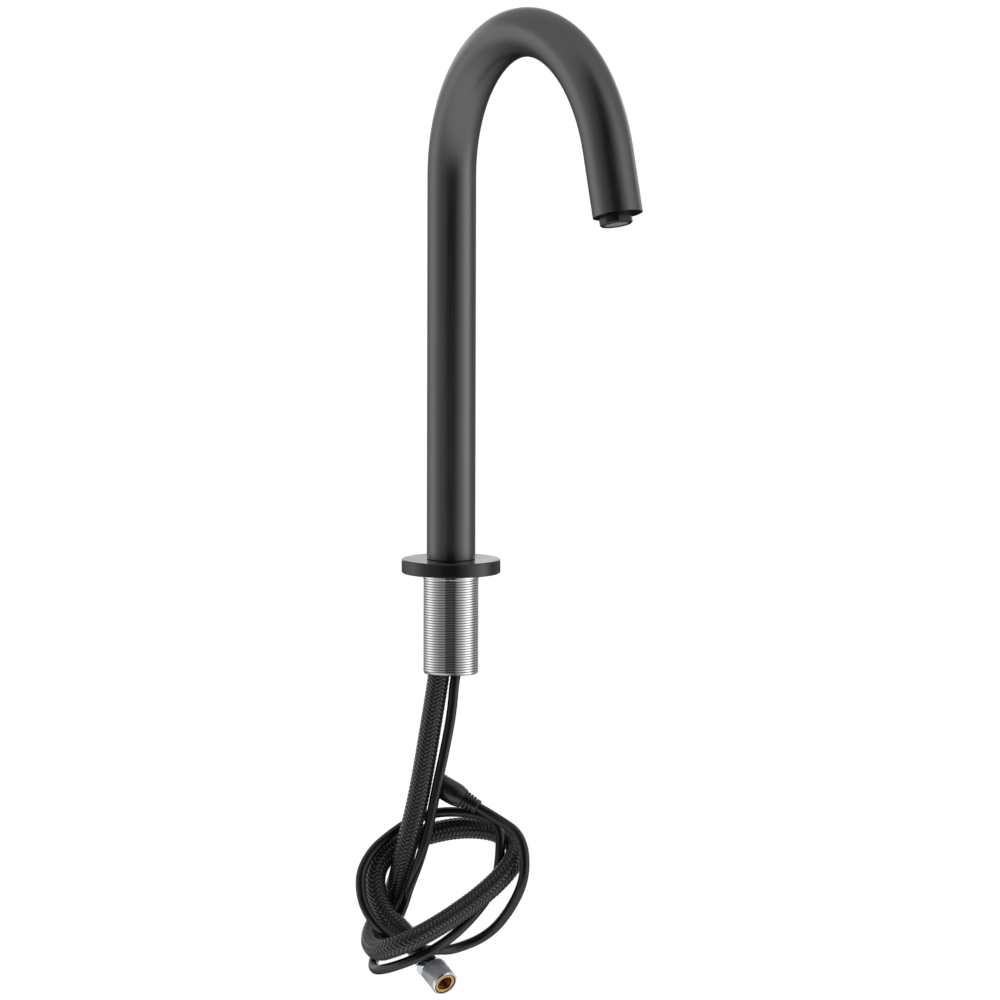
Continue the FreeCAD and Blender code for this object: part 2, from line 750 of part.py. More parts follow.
# The supply hose: out of the shank, down, round the loop once and into the ferrule.
HOSE_ROUTE = (
    (-5, 2, -34),
    (-5, 2, -46),
    (-6, 4.5, -64.5),
    (-11, 3.5, -87.5),
    (-15.5, 3.5, -111.5),
    (-20, 5, -136.5),
    (-24.5, 9.5, -161),
    (-22, 22.5, -183),
    (-20.3, 35.2, -196),
    (-28.9, 36.9, -209),
    (-38.5, 26, -216),
    (-45.5, 5.5, -218.5),
    (-44, -12, -213),
    (-34, -21.5, -207),
    (-13.5, -23, -197.5),
    (6, -29.5, -183.5),
    (22, -31.5, -169.5),
    (33, -22.5, -160),
    (32.5, -8.5, -155),
    (25.5, 0, -151.5),
    (10.5, 7, -150.5),
    (-5.5, 15.5, -154),
    (-19.7, 26.6, -160.6),
    (-36.2, 27.1, -173.6),
    (-35.8, 22.8, -195.5),
)

# The sensor cable: beside the hose, round the loop one and a half times and up to the plug.
CABLE_ROUTE = (
    (6.5, -3, -34),
    (6.5, -3, -45.5),
    (1.5, -2, -60),
    (-1.5, -4, -80.5),
    (-6, -4, -101.5),
    (-10.5, -2.5, -122.5),
    (-13.5, 0.5, -145),
    (-18, 3.5, -166),
    (-21, 11.5, -184),
    (-19, 20.6, -195.2),
    (-18.2, 27.6, -203.4),
    (-21.5, 29.7, -211.4),
    (-26, 29.8, -218.5),
    (-35.5, 27.5, -227),
    (-41, 18.5, -231.5),
    (-42.5, 3.5, -229),
    (-38, -14.5, -222.5),
    (-26.5, -22.5, -216),
    (-9.5, -21, -208),
    (6, -21, -195.5),
    (18.3, -20.2, -181.5),
    (22.3, -19, -165.6),
    (24.5, -15.5, -147.5),
    (17, -4, -141.5),
    (0.5, 10, -140.5),
    (-13.5, 18.5, -145),
    (-27, 23, -154),
    (-39.5, 24.5, -163.5),
    (-49.5, 21, -177.5),
    (-49, 13.5, -198),
    (-32.5, 3, -216.5),
    (-28.6, -10.6, -216.8),
    (-19.5, -16.5, -216.5),
    (-5.5, -14, -218),
    (13.5, -21.5, -210),
    (21, -35, -192),
    (25.5, -42.5, -172.5),
    (26, -37.5, -150.5),
)

ARC_SHARE = 0.45


def cord_path(points):
    """Straight runs joined by tangent arcs, each arc as large as its two runs allow."""
    runs = [(after - before) for before, after in zip(points, points[1:])]
    edges, radii, here = [], [], points[0]
    for corner, into, out in zip(points[1:-1], runs, runs[1:]):
        turn = into.getAngle(out)
        cut = ARC_SHARE * min(into.Length, out.Length)
        radii.append(cut / math.tan(turn / 2))
        first = corner - into * (cut / into.Length)
        last = corner + out * (cut / out.Length)
        inwards = (first + last) / 2 - corner
        middle = corner + inwards.normalize() * (radii[-1] / math.cos(turn / 2) - radii[-1])
        edges.append(Part.LineSegment(here, first).toShape())
        edges.append(Part.Arc(first, middle, last).toShape())
        here = last
    edges.append(Part.LineSegment(here, points[-1]).toShape())
    return Part.Wire(edges), radii


def cord(label, points, radius):
    """A plain round cord along its route."""
    path, radii = cord_path(points)
    section = Part.Wire([Part.Circle(points[0], points[1] - points[0], radius).toShape()])
    shape = path.makePipeShell([section], True, False)
    wanted = math.pi * radius**2 * path.Length
    if abs(shape.Volume - wanted) > 0.01 * wanted:
        raise ValueError(f"{label}: volume {shape.Volume:.0f}, not {wanted:.0f}")
    print(label, "length", round(path.Length, 1), "radii", [round(value, 1) for value in radii])
    feature = DOC.addObject("Part::Feature", label)
    feature.Label = label
    feature.Shape = shape
    feature.Placement = FreeCAD.Placement()
    PIECES.append(feature)


def cords():
    """Both free cords, each ending exactly on its fitting."""
    hose_end_depth = value_of("Size.ferrule_end")
    hose = [NUT_FRAME.multVec(UP * -depth) for depth in (hose_end_depth + 11.5, hose_end_depth)]
    cable = [PLUG_FRAME.multVec(UP * -depth) for depth in (12, 0)]
    cord("supply_hose", [VECTOR(*spot) for spot in HOSE_ROUTE] + hose, value_of("Size.hose_outer"))
    cord("sensor_cable", [VECTOR(*spot) for spot in CABLE_ROUTE] + cable, value_of("Size.cable_outer"))


# ---------------------------------------------------------------- build and write


def check_pieces():
    """Stop if any object failed, or any piece is empty or broken."""
    for item in DOC.Objects:
        if {"Invalid", "Error"} & set(item.State):
            raise ValueError(f"{item.Label}: {item.State}")
    for piece in PIECES:
        shape = piece.Shape
        if shape.isNull() or not shape.isValid() or not shape.Solids:
            raise ValueError(f"{piece.Label} has no good solid")


def write_pieces():
    """One STEP file for each piece."""
    os.makedirs("parts", exist_ok=True)
    for piece in PIECES:
        piece.Shape.exportStep(f"parts/{piece.Label}.step")


for build in (
    neck,
    shank,
    foot_insert,
    hose_inlet,
    lead_relief,
    water_line,
    sensor_lead,
    outlet_block,
    aerator,
    sensor,
    hose_end,
    plug,
    cords,
):
    build()
DOC.recompute()
check_pieces()
write_pieces()
print(len(PIECES), "pieces")
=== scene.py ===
"""Looks of a deck-mounted, hands-free gooseneck faucet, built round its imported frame. Metres, +Z up."""

import bisect
import math

import bpy
from mathutils import Euler, Matrix, Vector


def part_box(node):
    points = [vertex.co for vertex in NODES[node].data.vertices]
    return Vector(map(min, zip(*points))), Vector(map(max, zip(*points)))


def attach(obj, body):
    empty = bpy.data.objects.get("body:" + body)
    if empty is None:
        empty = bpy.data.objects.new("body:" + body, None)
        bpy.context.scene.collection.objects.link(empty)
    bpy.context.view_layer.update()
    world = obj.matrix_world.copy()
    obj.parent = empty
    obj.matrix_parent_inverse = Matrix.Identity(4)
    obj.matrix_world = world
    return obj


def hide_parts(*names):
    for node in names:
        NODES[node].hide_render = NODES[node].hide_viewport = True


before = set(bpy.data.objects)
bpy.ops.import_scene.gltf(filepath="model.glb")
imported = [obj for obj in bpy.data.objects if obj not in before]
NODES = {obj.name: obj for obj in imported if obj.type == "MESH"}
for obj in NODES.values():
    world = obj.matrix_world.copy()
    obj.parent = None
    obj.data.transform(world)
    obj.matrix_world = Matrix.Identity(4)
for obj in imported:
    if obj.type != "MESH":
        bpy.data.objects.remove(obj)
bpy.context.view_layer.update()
UP = Vector((0, 0, 1))

# ---------------------------------------------------------------- camera

CAMERA_PLACE = Vector((-2.1007, -3.5215, 0.4990))
CAMERA_HEADING = -31.211
CAMERA_PITCH = -6.358
CAMERA_ROLL = 0.166
CAMERA_LENS = 257.7
SENSOR = 36


def make_camera():
    """The camera, at the photograph's viewing angle."""
    data = bpy.data.cameras.new("camera")
    data.lens = CAMERA_LENS
    data.sensor_width = SENSOR
    data.clip_end = 200
    camera = bpy.data.objects.new("camera", data)
    bpy.context.collection.objects.link(camera)
    aim = Euler((math.radians(90 + CAMERA_PITCH), 0, math.radians(CAMERA_HEADING))).to_matrix()
    aim = aim @ Matrix.Rotation(math.radians(CAMERA_ROLL), 3, "Z")
    camera.matrix_world = Matrix.Translation(CAMERA_PLACE) @ aim.to_4x4()
    bpy.context.scene.camera = camera


make_camera()

# ---------------------------------------------------------------- free cords

# The nut's face, the plug's back, and the direction each of them points in.
NUT_FACE = Vector((-0.0175, -0.024, -0.2355))
PLUG_BACK = Vector((0.012, -0.011, -0.1365))


def direction(turn, tilt):
    """+Z tilted down by an angle and turned round +Z by another, in degrees."""
    return Euler((0, math.radians(tilt), math.radians(turn))).to_matrix() @ UP


NUT_AXIS = direction(-87, 119)
PLUG_AXIS = direction(134, 62.5)
FERRULE_END = 0.038
# How far straight behind its end each cord's last point but one lies.
HOSE_LEAD, CABLE_LEAD = 0.0115, 0.012

# The supply hose: out of the shank, down, round the loop once and into the ferrule.
HOSE_ROUTE = (
    (-0.005, 0.002, -0.034),
    (-0.005, 0.002, -0.046),
    (-0.006, 0.0045, -0.0645),
    (-0.011, 0.0035, -0.0875),
    (-0.0155, 0.0035, -0.1115),
    (-0.02, 0.005, -0.1365),
    (-0.0245, 0.0095, -0.161),
    (-0.022, 0.0225, -0.183),
    (-0.0203, 0.0352, -0.196),
    (-0.0289, 0.0369, -0.209),
    (-0.0385, 0.026, -0.216),
    (-0.0455, 0.0055, -0.2185),
    (-0.044, -0.012, -0.213),
    (-0.034, -0.0215, -0.207),
    (-0.0135, -0.023, -0.1975),
    (0.006, -0.0295, -0.1835),
    (0.022, -0.0315, -0.1695),
    (0.033, -0.0225, -0.16),
    (0.0325, -0.0085, -0.155),
    (0.0255, 0, -0.1515),
    (0.0105, 0.007, -0.1505),
    (-0.0055, 0.0155, -0.154),
    (-0.0197, 0.0266, -0.1606),
    (-0.0362, 0.0271, -0.1736),
    (-0.0358, 0.0228, -0.1955),
    NUT_FACE - NUT_AXIS * (FERRULE_END + HOSE_LEAD),
    NUT_FACE - NUT_AXIS * FERRULE_END,
)

# The sensor cable: beside the hose, round the loop one and a half times and up to the plug.
CABLE_ROUTE = (
    (0.0065, -0.003, -0.034),
    (0.0065, -0.003, -0.0455),
    (0.0015, -0.002, -0.06),
    (-0.0015, -0.004, -0.0805),
    (-0.006, -0.004, -0.1015),
    (-0.0105, -0.0025, -0.1225),
    (-0.0135, 0.0005, -0.145),
    (-0.018, 0.0035, -0.166),
    (-0.021, 0.0115, -0.184),
    (-0.019, 0.0206, -0.1952),
    (-0.0182, 0.0276, -0.2034),
    (-0.0215, 0.0297, -0.2114),
    (-0.026, 0.0298, -0.2185),
    (-0.0355, 0.0275, -0.227),
    (-0.041, 0.0185, -0.2315),
    (-0.0425, 0.0035, -0.229),
    (-0.038, -0.0145, -0.2225),
    (-0.0265, -0.0225, -0.216),
    (-0.0095, -0.021, -0.208),
    (0.006, -0.021, -0.1955),
    (0.0183, -0.0202, -0.1815),
    (0.0223, -0.019, -0.1656),
    (0.0245, -0.0155, -0.1475),
    (0.017, -0.004, -0.1415),
    (0.0005, 0.01, -0.1405),
    (-0.0135, 0.0185, -0.145),
    (-0.027, 0.023, -0.154),
    (-0.0395, 0.0245, -0.1635),
    (-0.0495, 0.021, -0.1775),
    (-0.049, 0.0135, -0.198),
    (-0.0325, 0.003, -0.2165),
    (-0.0286, -0.0106, -0.2168),
    (-0.0195, -0.0165, -0.2165),
    (-0.0055, -0.014, -0.218),
    (0.0135, -0.0215, -0.21),
    (0.021, -0.035, -0.192),
    (0.0255, -0.0425, -0.1725),
    (0.026, -0.0375, -0.1505),
    PLUG_BACK - PLUG_AXIS * CABLE_LEAD,
    PLUG_BACK,
)

HOSE_THICK = 0.0122
CABLE_THICK = 0.0058


def cord_curve(name, route, thick):
    """A free cord: one smooth curve that its route's points pull into shape."""
    data = bpy.data.curves.new(name, "CURVE")
    data.dimensions = "3D"
    data.resolution_u = 20
    data.bevel_depth = thick / 2
    data.bevel_resolution = 6
    data.use_fill_caps = True
    line = data.splines.new("NURBS")
    line.points.add(len(route) - 1)
    for point, place in zip(line.points, route):
        point.co = (*place, 1)
    line.order_u = 3
    line.use_endpoint_u = True
    piece = bpy.data.objects.new(name, data)
    bpy.context.collection.objects.link(piece)
    return piece


def line_of(piece):
    """The points of a cord's own centre line."""
    bare = piece.copy()
    bare.data = piece.data.copy()
    bare.data.bevel_depth = 0
    bpy.context.collection.objects.link(bare)
    graph = bpy.context.evaluated_depsgraph_get()
    mesh = bpy.data.meshes.new_from_object(bare.evaluated_get(graph))
    points = [vertex.co.copy() for vertex in mesh.vertices]
    bpy.data.objects.remove(bare)
    return points


hose = cord_curve("supply_hose_core", HOSE_ROUTE, HOSE_THICK)
cable = cord_curve("sensor_cable_jacket", CABLE_ROUTE, CABLE_THICK)

# ---------------------------------------------------------------- mesh helpers


def add_mesh(name, points, faces, body, replaced=(), sharp=30):
    """A mesh piece that rides on a body, smooth except along edges sharper than an angle."""
    mesh = bpy.data.meshes.new(name)
    mesh.from_pydata([tuple(point) for point in points], [], faces)
    mesh.validate()
    mesh.polygons.foreach_set("use_smooth", [True] * len(mesh.polygons))
    mesh.set_sharp_from_angle(angle=math.radians(sharp))
    piece = bpy.data.objects.new(name, mesh)
    bpy.context.collection.objects.link(piece)
    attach(piece, body)
    if replaced:
        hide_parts(*replaced)
    return piece


def grid_faces(rows, columns, closed_columns=False, start=0):
    """Quads over rows of points, each row with the same number of columns."""
    faces = []
    for row in range(rows - 1):
        here = start + row * columns
        over = here + columns
        for column in range(columns if closed_columns else columns - 1):
            after = (column + 1) % columns
            faces.append((here + column, here + after, over + after, over + column))
    return faces


def framed(origin, axis):
    """A frame at a point whose +Z is an axis."""
    return Matrix.Translation(origin) @ axis.to_track_quat("Z", "Y").to_matrix().to_4x4()


def around(radius, angle, height):
    """A point in cylinder coordinates."""
    return Vector((radius * math.cos(angle), radius * math.sin(angle), height))


class Path:
    """A line with a frame carried along it without twist."""

    def __init__(self, points):
        self.points = points
        self.reach = [0.0]
        for before, after in zip(points, points[1:]):
            self.reach.append(self.reach[-1] + (after - before).length)
        self.length = self.reach[-1]
        ahead = [(after - before).normalized() for before, after in zip(points, points[1:])]
        self.ahead = [ahead[0]] + [(a + b).normalized() for a, b in zip(ahead, ahead[1:])] + [ahead[-1]]
        side = self.ahead[0].orthogonal().normalized()
        self.side = []
        for heading in self.ahead:
            side = (side - heading * side.dot(heading)).normalized()
            self.side.append(side)

    def place(self, distance, angle, out):
        """The point at a distance along, an angle round and a distance out from the line."""
        distance = min(max(distance, 0.0), self.length)
        index = min(bisect.bisect_right(self.reach, distance), len(self.points) - 1) - 1
        share = (distance - self.reach[index]) / (self.reach[index + 1] - self.reach[index])
        middle = self.points[index].lerp(self.points[index + 1], share)
        heading = self.ahead[index].lerp(self.ahead[index + 1], share)
        side = self.side[index].lerp(self.side[index + 1], share)
        other = heading.cross(side)
        return middle + (side * math.cos(angle) + other * math.sin(angle)) * out


# ---------------------------------------------------------------- material helpers

# Scale of the patches of colour, and the part of a noise's range that most of it lies in.
PATCH_SCALE = 60
NOISE_REACH = (0.3, 0.7)


def material(name, **sockets):
    """A node material with these values on its shader's own sockets."""
    made = bpy.data.materials.new(name)
    made.use_nodes = True
    shader = made.node_tree.nodes["Principled BSDF"]
    for socket, value in sockets.items():
        shader.inputs[socket.replace("_", " ")].default_value = value
    return made, made.node_tree, shader


def add(tree, kind, sockets=None, **settings):
    """A node with its settings, and a value or a link on each named socket."""
    node = tree.nodes.new(kind)
    for name, value in settings.items():
        setattr(node, name, value)
    for name, value in (sockets or {}).items():
        if isinstance(value, bpy.types.NodeSocket):
            tree.links.new(value, node.inputs[name])
        else:
            node.inputs[name].default_value = value
    return node


def spread(tree, value, low, high, start=0.0, end=1.0):
    """A factor mapped to a range of numbers."""
    sockets = {"Value": value, "From Min": start, "From Max": end, "To Min": low, "To Max": high}
    return add(tree, "ShaderNodeMapRange", sockets).outputs["Result"]


def blended(tree, share, first, second):
    """Two colours mixed by a factor, each of them a plain colour or a socket."""
    sides = [side if isinstance(side, bpy.types.NodeSocket) else (*side, 1) for side in (first, second)]
    return add(tree, "ShaderNodeMix", {0: share, 6: sides[0], 7: sides[1]}, data_type="RGBA").outputs[2]


def worked(tree, operation, *terms):
    """The result of one operation on numbers."""
    return add(tree, "ShaderNodeMath", dict(enumerate(terms)), operation=operation).outputs[0]


def worked_vector(tree, operation, *terms, result=0):
    """The result of one operation on vectors."""
    return add(tree, "ShaderNodeVectorMath", dict(enumerate(terms)), operation=operation).outputs[result]


def object_place(tree):
    """The shaded point in the object's own coordinates."""
    return add(tree, "ShaderNodeTexCoord").outputs["Object"]


def noise(tree, scale, stretch=(1, 1, 1), detail=3.0):
    """Noise on the object's own coordinates, stretched along its axes."""
    mapped = add(tree, "ShaderNodeMapping", {"Vector": object_place(tree), "Scale": stretch})
    sockets = {"Vector": mapped.outputs["Vector"], "Scale": scale, "Detail": detail}
    return add(tree, "ShaderNodeTexNoise", sockets).outputs["Fac"]


def raised(tree, shader, height, distance):
    """Bump from a height between 0 and 1, its full depth in metres."""
    bump = add(tree, "ShaderNodeBump", {"Height": height, "Distance": distance, "Strength": 1.0})
    tree.links.new(bump.outputs["Normal"], shader.inputs["Normal"])


def grained(name, dark, light, roughness, grain, deep, stretch=(1, 1, 1), **sockets):
    """A material whose colour, roughness and relief vary with one grain."""
    made, tree, shader = material(name, **sockets)
    fine = noise(tree, grain, stretch)
    wide = noise(tree, PATCH_SCALE, detail=2.0)
    tree.links.new(blended(tree, wide, dark, light), shader.inputs["Base Color"])
    tree.links.new(spread(tree, fine, *roughness, *NOISE_REACH), shader.inputs["Roughness"])
    raised(tree, shader, fine, deep)
    return made


def wear(node, made):
    """Give a frame node a material in place of its own."""
    NODES[node].data.materials.clear()
    NODES[node].data.materials.append(made)


# ---------------------------------------------------------------- materials

BLACK_DARK, BLACK_LIGHT = (0.15, 0.15, 0.155), (0.175, 0.175, 0.18)
ROUND_DARK, ROUND_LIGHT = (0.070, 0.070, 0.073), (0.095, 0.095, 0.098)


def brushed_black():
    """Brushed steel under a thin black coating."""
    made, tree, shader = material("brushed_black", Metallic=1.0)
    streaks = noise(tree, 900, (1, 1, 0.02), 4.0)
    wide = noise(tree, 25, (1, 1, 0.3), 2.0)
    tree.links.new(blended(tree, streaks, BLACK_DARK, BLACK_LIGHT), shader.inputs["Base Color"])
    both = worked(tree, "MULTIPLY", streaks, wide)
    tree.links.new(spread(tree, both, 0.26, 0.36, 0.1, 0.4), shader.inputs["Roughness"])
    raised(tree, shader, streaks, 0.00001)
    return made


def brushed_round():
    """The same coating on turned pieces, brushed round their axis."""
    made, tree, shader = material("brushed_black_round", Metallic=1.0)
    streaks = noise(tree, 1400, (0.03, 0.03, 1), 4.0)
    tree.links.new(blended(tree, streaks, ROUND_DARK, ROUND_LIGHT), shader.inputs["Base Color"])
    tree.links.new(spread(tree, streaks, 0.20, 0.28, *NOISE_REACH), shader.inputs["Roughness"])
    raised(tree, shader, streaks, 0.00002)
    return made


STEEL_DARK, STEEL_LIGHT = (0.88, 0.88, 0.87), (0.96, 0.96, 0.95)
LATHE_SCALE, LATHE_DEEP, LATHE_STRETCH = 1500, 0.00001, (0.05, 0.05, 1)
SHANK_CREST = 0.0159
# The shank's thread is bright from the first of these radii outwards, and painted with shade inside the
# second, down in the grooves.
CREST_BRIGHT, CREST_DARK = SHANK_CREST - 0.00004, SHANK_CREST - 0.00022
THREAD_SHADE = (0.42, 0.42, 0.42)


def turned_steel(name, roughness):
    """Bright steel from a lathe, with fine rings round its axis."""
    grain = (LATHE_SCALE, LATHE_DEEP, LATHE_STRETCH)
    return grained(name, STEEL_DARK, STEEL_LIGHT, roughness, *grain, Metallic=1.0)


def thread_steel():
    """Bright turned steel with shade painted down in the thread."""
    made, tree, shader = material("thread_steel", Metallic=1.0)
    fine = noise(tree, LATHE_SCALE, LATHE_STRETCH)
    steel = blended(tree, fine, STEEL_DARK, STEEL_LIGHT)
    flat = worked_vector(tree, "MULTIPLY", object_place(tree), (1, 1, 0))
    radius = worked_vector(tree, "LENGTH", flat, result="Value")
    # Painted shade: the colour darkens from the thread's crest down into its grooves.
    crest = spread(tree, radius, 0.0, 1.0, CREST_DARK, CREST_BRIGHT)
    tree.links.new(blended(tree, crest, THREAD_SHADE, steel), shader.inputs["Base Color"])
    tree.links.new(spread(tree, fine, 0.08, 0.14, *NOISE_REACH), shader.inputs["Roughness"])
    return made


# How far behind the nut's face the knurl comes in at the back and goes out at the front.
KNURL_BACK, KNURL_FRONT = (0.0142, 0.0138), (0.0010, 0.0008)
# Inside this radius the nut's chrome is painted dark, as shade in the gap round the insert.
NUT_SHADE_RADIUS = 0.0068
SHADE_RING_SOFT = 0.0002
INSERT_GAP_SHADE = (0.03, 0.03, 0.03)


def chrome():
    """Polished chrome with faint smudges, satin on the knurl, with painted shade in a thin ring round the
    brass insert.
    """
    made, tree, shader = material("chrome", Metallic=1.0)
    smudge = noise(tree, 220)
    plated = blended(tree, smudge, (0.86, 0.90, 0.96), (0.93, 0.95, 0.98))
    place = object_place(tree)
    swept = worked_vector(tree, "CROSS_PRODUCT", worked_vector(tree, "SUBTRACT", place, NUT_FACE), NUT_AXIS)
    radius = worked_vector(tree, "LENGTH", swept, result="Value")
    # Painted shade: the chrome turns dark in a thin ring round the brass insert.
    unshaded = spread(tree, radius, 0.0, 1.0, NUT_SHADE_RADIUS - SHADE_RING_SOFT, NUT_SHADE_RADIUS)
    tree.links.new(blended(tree, unshaded, INSERT_GAP_SHADE, plated), shader.inputs["Base Color"])
    reach = worked_vector(tree, "DOT_PRODUCT", place, NUT_AXIS, result="Value")
    face = NUT_FACE.dot(NUT_AXIS)
    back = spread(tree, reach, 0.0, 1.0, *(face - behind for behind in KNURL_BACK))
    front = spread(tree, reach, 1.0, 0.0, *(face - behind for behind in KNURL_FRONT))
    knurl = worked(tree, "MULTIPLY", back, front)
    tree.links.new(spread(tree, knurl, 1.0, 0.7), shader.inputs["Metallic"])
    satin = spread(tree, knurl, 0.05, 0.38)
    smudged = spread(tree, smudge, 0.0, 0.05, 0.35, 0.7)
    tree.links.new(worked(tree, "ADD", satin, smudged), shader.inputs["Roughness"])
    return made


def brass():
    """Machined brass, a little browner in patches."""
    tarnish = ((0.70, 0.38, 0.11), (0.90, 0.56, 0.20))
    return grained("brass", *tarnish, (0.18, 0.32), 1800, 0.000008, Metallic=1.0)


NYLON = {
    "IOR": 1.5,
    "Specular_IOR_Level": 0.6,
    "Coat_Weight": 0.85,
    "Coat_Roughness": 0.12,
    "Coat_IOR": 1.65,
}
FILAMENTS = 6


def braid_nylon():
    """Black nylon: each bundle shows its side-by-side filaments."""
    made, tree, shader = material("braid_nylon", **NYLON)
    bundle = add(tree, "ShaderNodeUVMap", uv_map="bundle").outputs[0]
    across = add(tree, "ShaderNodeSeparateXYZ", {0: bundle}).outputs["Y"]
    wave = worked(tree, "MULTIPLY", across, math.pi * FILAMENTS)
    wave = worked(tree, "ABSOLUTE", worked(tree, "SINE", wave))
    patch = noise(tree, 400, detail=2.0)
    shade = blended(tree, patch, (0.004, 0.004, 0.0042), (0.010, 0.010, 0.0105))
    tree.links.new(shade, shader.inputs["Base Color"])
    tree.links.new(spread(tree, patch, 0.24, 0.34, *NOISE_REACH), shader.inputs["Roughness"])
    raised(tree, shader, wave, 0.00006)
    return made


def plastic(name, dark, light, roughness, deep=0.00001, grain=1600, gloss=0.5):
    """Moulded plastic or rubber with a fine grain."""
    return grained(name, dark, light, roughness, grain, deep, IOR=1.5, Specular_IOR_Level=gloss)


def metal(name, dark, light, roughness, grain, deep):
    """A plain metal with a fine grain."""
    return grained(name, dark, light, roughness, grain, deep, Metallic=1.0)


def grey(level):
    """A neutral colour."""
    return (level, level, level)


NECK_BLACK = brushed_black()
ROUND_BLACK = brushed_round()
THREAD_STEEL = thread_steel()
FERRULE_STEEL = turned_steel("ferrule_steel", (0.12, 0.20))
SCREEN_STEEL = metal("screen_steel", grey(0.50), grey(0.64), (0.3, 0.4), 900, 0.000005)
CHROME = chrome()
BRASS = brass()
THREAD_BRASS = metal("dark_brass", (0.16, 0.05, 0.03), (0.26, 0.09, 0.05), (0.35, 0.5), 1500, 0.000008)
BRAID = braid_nylon()
HOSE_CORE = plastic("hose_core", grey(0.003), grey(0.006), (0.7, 0.9))
JACKET = plastic(
    "cable_jacket",
    (0.008, 0.008, 0.009),
    (0.013, 0.013, 0.014),
    (0.20, 0.27),
    deep=0.000004,
    gloss=0.65,
)
PLASTIC = plastic("black_plastic", grey(0.005), grey(0.009), (0.24, 0.32), gloss=0.3)
MOULDING = plastic("plug_moulding", (0.008, 0.008, 0.009), (0.014, 0.014, 0.015), (0.24, 0.32), gloss=0.9)
AERATOR = plastic("aerator_black", (0.016, 0.016, 0.017), (0.026, 0.026, 0.027), (0.22, 0.30))
RUBBER = plastic("black_rubber", grey(0.012), grey(0.022), (0.55, 0.70), 0.00002, 900)
WINDOW = plastic("window_plastic", (0.010, 0.004, 0.005), (0.016, 0.006, 0.007), (0.06, 0.12), 0.000001)
DIODE = plastic("diode_plastic", (0.05, 0.06, 0.10), (0.08, 0.09, 0.14), (0.08, 0.14), 0.000001)
BOARD = plastic("board_laminate", (0.02, 0.12, 0.05), (0.03, 0.20, 0.08), (0.35, 0.45))
LINE = plastic("clear_line", (0.60, 0.60, 0.56), (0.75, 0.75, 0.70), (0.30, 0.40))
CARTRIDGE = plastic("cartridge_plastic", (0.62, 0.63, 0.62), (0.75, 0.76, 0.74), (0.35, 0.45))

FINISHES = {
    NECK_BLACK: ("spout_tube",),
    ROUND_BLACK: ("base_flange",),
    RUBBER: ("foot_seal", "lead_strain_relief", "hose_washer", "aerator_washer"),
    BRASS: (
        "foot_insert",
        "hose_inlet_nipple",
        "line_nipple_lower",
        "line_nipple_upper",
        "hose_tailpiece",
        "nut_insert",
        "plug_contacts",
    ),
    FERRULE_STEEL: ("inlet_ferrule", "line_clip_lower", "line_clip_upper", "hose_ferrule"),
    LINE: ("water_line",),
    JACKET: ("sensor_lead",),
    PLASTIC: ("outlet_block", "sensor_module", "plug_insulator"),
    WINDOW: ("sensor_window",),
    DIODE: ("ir_emitter", "ir_receiver"),
    BOARD: ("sensor_board",),
    AERATOR: ("aerator_housing",),
    CARTRIDGE: ("aerator_cartridge",),
    CHROME: ("hose_nut",),
    MOULDING: ("plug_strain_relief", "plug_body", "plug_collar"),
}
for finish, nodes in FINISHES.items():
    for node in nodes:
        wear(node, finish)

# ---------------------------------------------------------------- shank

SHANK_BORE = 0.0134
SHANK_END = -0.0583
THREAD_PITCH = 0.0015
THREAD_DEEP = 0.00042
THREAD_TOP = -0.003
THREAD_CHAMFER = 0.0006
THREAD_STEPS = 96
# The plain band over the thread, and the spigot that goes up into the flange.
COLLAR_RADIUS, COLLAR_TOP, COLLAR_EDGE = 0.0163, -0.0001, 0.0004
SPIGOT_RADIUS, SPIGOT_TOP = 0.0155, 0.006
BORE_EDGE = 0.0003
# One turn of the thread: share of the pitch, and share of the depth.
THREAD_FORM = ((-0.3, 0.0), (0.3, 0.0), (0.46, 1.0), (0.54, 1.0))


def shank():
    """The hollow shank, its thread a true helix."""
    turns = range(-1, int((THREAD_TOP - SHANK_END) / THREAD_PITCH) + 2)
    rows = [(turn + share, sunk) for turn in turns for share, sunk in THREAD_FORM]
    points = []
    for turn, sunk in rows:
        for step in range(THREAD_STEPS + 1):
            share = step / THREAD_STEPS
            height = SHANK_END + (turn + share) * THREAD_PITCH
            height = min(max(height, SHANK_END), THREAD_TOP)
            chamfer = max(0.0, THREAD_CHAMFER - (height - SHANK_END))
            radius = SHANK_CREST - max(sunk * THREAD_DEEP, chamfer)
            points.append(around(radius, share * math.tau, height))
    faces = grid_faces(len(rows), THREAD_STEPS + 1)
    outline = (
        (SHANK_CREST - THREAD_DEEP, THREAD_TOP),
        (SHANK_CREST, THREAD_TOP),
        (COLLAR_RADIUS, THREAD_TOP + COLLAR_EDGE),
        (COLLAR_RADIUS, COLLAR_TOP),
        (SPIGOT_RADIUS, COLLAR_TOP),
        (SPIGOT_RADIUS, SPIGOT_TOP),
        (SHANK_BORE, SPIGOT_TOP),
        (SHANK_BORE, SHANK_END + BORE_EDGE),
        (SHANK_BORE + BORE_EDGE, SHANK_END),
        (SHANK_CREST - THREAD_DEEP, SHANK_END),
    )
    start = len(points)
    for radius, height in outline:
        points += [around(radius, step / THREAD_STEPS * math.tau, height) for step in range(THREAD_STEPS)]
    faces += grid_faces(len(outline), THREAD_STEPS, closed_columns=True, start=start)
    piece = add_mesh("shank_with_thread", points, faces, "faucet", ("threaded_shank",), sharp=20)
    piece.data.materials.append(THREAD_STEEL)


shank()

# ---------------------------------------------------------------- hose braid

BRAID_COLUMNS = 10
BRAID_STITCH = 0.00242
# How far neighbouring columns are set off along the hose, as a share of a stitch each way.
BRAID_STAGGER = 0.25
BUNDLE_WIDE = 0.00176
BUNDLE_UNDER = 1.16
BUNDLE_HIGH = 0.00050
BUNDLE_CROWN = 0.00042
BUNDLE_SUNK = 0.00018
# Where a bundle has points, as shares of its half length and its half width.
BUNDLE_ALONG = (-1, -0.72, 0, 0.72, 1)
BUNDLE_ACROSS = (-1, -0.6, 0, 0.6, 1)


